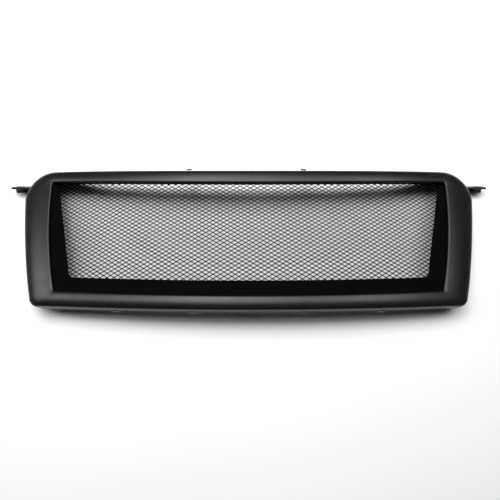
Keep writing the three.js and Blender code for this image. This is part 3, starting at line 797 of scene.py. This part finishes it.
def build_bracket(side, s):
    M = tab_matrix(s)
    L = TAB["tip"] - TAB["x"]
    h = TAB["depth"] / 2
    plate = fillet([(-75, -h), (L, -h), (L, h), (-75, h)], 6.0, 8)
    body = temp_object("t_plate", *prism(plate, -TAB["thick"], 0, M))
    foot = outline_prism("t_foot", 4.4)
    slab = [(470, 244), (512, 244), (512, 304), (470, 304)]
    boolean(foot, (t := temp_object("t_slab", *prism([(s * x, y) for x, y in slab], 5, 17.5))), "INTERSECT")
    drop(t)
    for v, f in (
        prism(circle(TAB["boss"]), -TAB["thick"] - TAB["bossH"], -TAB["thick"] + 1, M),
        prism([(-75, -2), (-6, -2), (-6, 2), (-75, 2)], -TAB["thick"] - TAB["bossH"] + 2, -1, M),
    ):
        t = temp_object("t_part", v, f)
        boolean(body, t, "UNION")
        drop(t)
    boolean(body, foot, "UNION")
    for t in (outline_prism("t_grown", 0.4), temp_object("t_hole", *prism(circle(TAB_HOLE_R + 0.15), -40, 20, M))):
        boolean(body, t, "DIFFERENCE")
        drop(t)
    for y in (254, 276):
        x = outer_side(y) - (0.6 if y > 270 else 0)
        d = Vector((s * 0.97, 0.04, 0)).normalized()
        q = Vector((0, 0, 1)).rotation_difference(d)
        R = Matrix.Translation(Vector((s * x, y, 11.4))) @ q.to_matrix().to_4x4()
        t = temp_object("t_screw", *prism(circle(SCREW_R + 0.25, 24), -7, 8, R))
        boolean(body, t, "DIFFERENCE")
        drop(t)
    t = temp_object("t_keep", *prism([(s * 440, 200), (s * 600, 200), (s * 600, 400), (s * 440, 400)], 0.4, 60))
    boolean(body, t, "INTERSECT")
    drop(t, foot)
    m = body.modifiers.new("r", "REMESH")
    m.mode = "VOXEL"
    m.voxel_size = 0.0006
    m.adaptivity = 0
    m = body.modifiers.new("s", "SMOOTH")
    m.factor = 0.5
    m.iterations = 6
    apply_all(body)
    # keep the largest shell
    bm = bmesh.new()
    bm.from_mesh(body.data)
    bm.faces.ensure_lookup_table()
    seen, best = set(), []
    for f in bm.faces:
        if f.index in seen:
            continue
        todo, shell = [f], []
        seen.add(f.index)
        while todo:
            g = todo.pop()
            shell.append(g)
            for e in g.edges:
                for o in e.link_faces:
                    if o.index not in seen:
                        seen.add(o.index)
                        todo.append(o)
        if len(shell) > len(best):
            best = shell
    extra = set(bm.faces) - set(best)
    if extra:
        bmesh.ops.delete(bm, geom=list(extra), context="FACES")
    bmesh.ops.recalc_face_normals(bm, faces=bm.faces)
    bm.to_mesh(body.data)
    bm.free()
    body.name = body.data.name = "mounting_bracket_" + side
    body.data.materials.clear()
    body.data.materials.append(BRACKET)
    finish_shade(body.data, None)
    print("bracket", side, len(body.data.polygons))
    keep(body, ["side_bracket_" + side])

    # rubber bush with rolled lips
    r0, r1 = 4.6, TAB_HOLE_R - 0.3
    z0, z1 = -TAB["thick"] - TAB["bossH"] + 0.5, -0.6
    prof = fillet([(r0, z0), (r1, z0), (r1, z1), (r0 + 0.5, z1), (r0, z1 - 1.4)], 0.7, 4)
    seg, verts, faces = 56, [], []
    for j in range(seg):
        a = 2 * math.pi * j / seg
        ridge = 0.12 * math.cos(8 * a)
        for r, z in prof:
            rr = r + (ridge if r < r0 + 0.6 else 0)
            verts.append(mm(*(M @ Vector((rr * math.cos(a), rr * math.sin(a), z)))))
    n = len(prof)
    for j in range(seg):
        for k in range(n):
            a, b = j * n + k, j * n + (k + 1) % n
            c, d = ((j + 1) % seg) * n + k, ((j + 1) % seg) * n + (k + 1) % n
            faces.append((a, b, d, c))
    ob = new_object("rubber_bush_" + side, verts, faces, [RUBBER], smooth=50)
    orient(ob)
    keep(ob, ["bracket_bush_" + side])


build_bracket("left", -1)
build_bracket("right", 1)

# ---- spring clips ------------------------------------------------------------------------------------
TOP_CLIP = [(-4.9, 8), (-4.9, -1.8), (18.5, -1.8), (20.6, 1), (19.8, 1.8), (17.8, -0.6), (1.5, -0.6), (1.5, 6), (0.3, 6), (0.3, -0.6), (-3.7, -0.6), (-3.7, 8)]
LOW_CLIP = [(-4.9, 8), (-4.9, -1.8), (-2.9, -1.8), (-2.9, -14), (-1.9, -16), (-0.7, -11), (1.2, -9.4), (1.2, -8.2), (-1.7, -8.6), (-1.7, -1.8), (1.5, -1.8), (1.5, 6), (0.3, 6), (0.3, -0.6), (-3.7, -0.6), (-3.7, 8)]


def build_clip(name, node, profile, x, y, flip, width):
    pts = fillet([(p[0] * flip, p[1]) for p in profile], 0.9, 4)
    n = len(pts)
    slope = -math.atan(2 * BOW2 * x + 4 * BOW4 * x**3)
    Rz = Matrix.Rotation(-slope, 4, "Y")
    verts, faces = [], []
    stations = [-width / 2, -width / 2 + 0.18, -width / 4, 0, width / 4, width / 2 - 0.18, width / 2]
    C = Vector((sum(p[0] for p in pts) / n, sum(p[1] for p in pts) / n))
    for k, u in enumerate(stations):
        for i, p in enumerate(pts):
            g = 0.0
            a, b = Vector(pts[i - 1]), Vector(pts[(i + 1) % n])
            t = (b - a).normalized()
            nrm = Vector((t.y, -t.x)) * flip
            q = Vector(p)
            if k in (0, len(stations) - 1):
                q = q + nrm * 0.14
            w = Rz @ Vector((u, q[0], q[1])) + Vector((x, y, REAR_Z - bow(x)))
            verts.append(mm(*w))
    for k in range(len(stations) - 1):
        for i in range(n):
            a, b = k * n + i, k * n + (i + 1) % n
            faces.append((a, b, b + n, a + n))
    faces.append(tuple(range(n))[::-1])
    faces.append(tuple((len(stations) - 1) * n + i for i in range(n)))
    ob = new_object(name, verts, faces, [STEEL], smooth=35)
    orient(ob)
    return keep(ob, [node])


for tag, x in (("left", -136), ("right", 125)):
    build_clip("spring_clip_top_" + tag, "top_clip_" + tag, TOP_CLIP, x, OUTER["top"](x), 1, 12)
for k, x in enumerate([-265, -110, 110, 265]):
    build_clip("spring_clip_bottom_%d" % (k + 1), "bottom_clip_%d" % (k + 1), LOW_CLIP, x, OUTER["bottom"](x), -1, 14)

# ---- floor, light -----------------------------------------------------------------------------------
FLOOR = 14.0
fv, ff, fn = [], [], 24
for j in range(fn + 1):
    for i in range(fn + 1):
        fv.append((-FLOOR + 2 * FLOOR * i / fn, -FLOOR + 2 * FLOOR * j / fn, 0.0))
for j in range(fn):
    for i in range(fn):
        a = j * (fn + 1) + i
        ff.append((a, a + 1, a + fn + 2, a + fn + 1))
floor = new_object("table_top", fv, ff, [pale_floor()], smooth=None)


# One wide overhead softbox with a mottled diffuser, built of panels: radiance of each panel, rows from the viewer's
# side to the far side, panels from left to right.
PANEL_X = [-3.4, -2.4, -1.7, -1.1, -0.6, -0.15, 0.3, 0.8, 1.4, 2.3]
PANEL_Y = [-0.4, -0.12, 0.1, 0.55, 1.05, 1.9]
PANELS = [
    [0.9, 0.5, 0.1, 0, 0, 0, 0, 0.3, 0],
    [3.2, 2.6, 2.0, 2.3, 3.4, 2.3, 1.2, 2.4, 0.4],
    [7.5, 7.2, 5.5, 6.8, 10.0, 7.2, 4.6, 6.5, 0.8],
    [1.2, 0.8, 0.2, 3.6, 9.0, 5.6, 3.0, 4.8, 0.4],
    [0.2, 0, 0, 0.5, 2.8, 1.6, 0.5, 0.4, 0],
]
PANEL_Z = 1.6
for j, row in enumerate(PANELS):
    for i, radiance in enumerate(row):
        if radiance < 0.02:
            continue
        d = bpy.data.lights.new(f"softbox_{j + 1}_{i + 1}", "AREA")
        d.shape = "RECTANGLE"
        d.size, d.size_y = PANEL_X[i + 1] - PANEL_X[i], PANEL_Y[j + 1] - PANEL_Y[j]
        d.energy = radiance * math.pi * d.size * d.size_y
        o = bpy.data.objects.new(d.name, d)
        o.location = ((PANEL_X[i] + PANEL_X[i + 1]) / 2, (PANEL_Y[j] + PANEL_Y[j + 1]) / 2, PANEL_Z)
        o.visible_camera = False
        scene.collection.objects.link(o)

world = bpy.data.worlds.new("studio")
scene.world = world
world.use_nodes = True
wt = world.node_tree
wt.nodes.clear()
wo = wt.nodes.new("ShaderNodeOutputWorld")
bg = wt.nodes.new("ShaderNodeBackground")
lp = wt.nodes.new("ShaderNodeLightPath")
level = wt.nodes.new("ShaderNodeMix")  # pale behind the table for the camera, dim for everything else
level.data_type = "FLOAT"
level.inputs[2].default_value = 0.03
level.inputs[3].default_value = 0.9
wt.links.new(lp.outputs["Is Camera Ray"], level.inputs[0])
wt.links.new(level.outputs[0], bg.inputs["Strength"])
bg.inputs["Color"].default_value = (1, 1, 1, 1)
wt.links.new(bg.outputs[0], wo.inputs[0])

scene.view_settings.view_transform = "Standard"
scene.view_settings.look = "None"
scene.view_settings.exposure = 0.0
scene.view_settings.gamma = 1.0
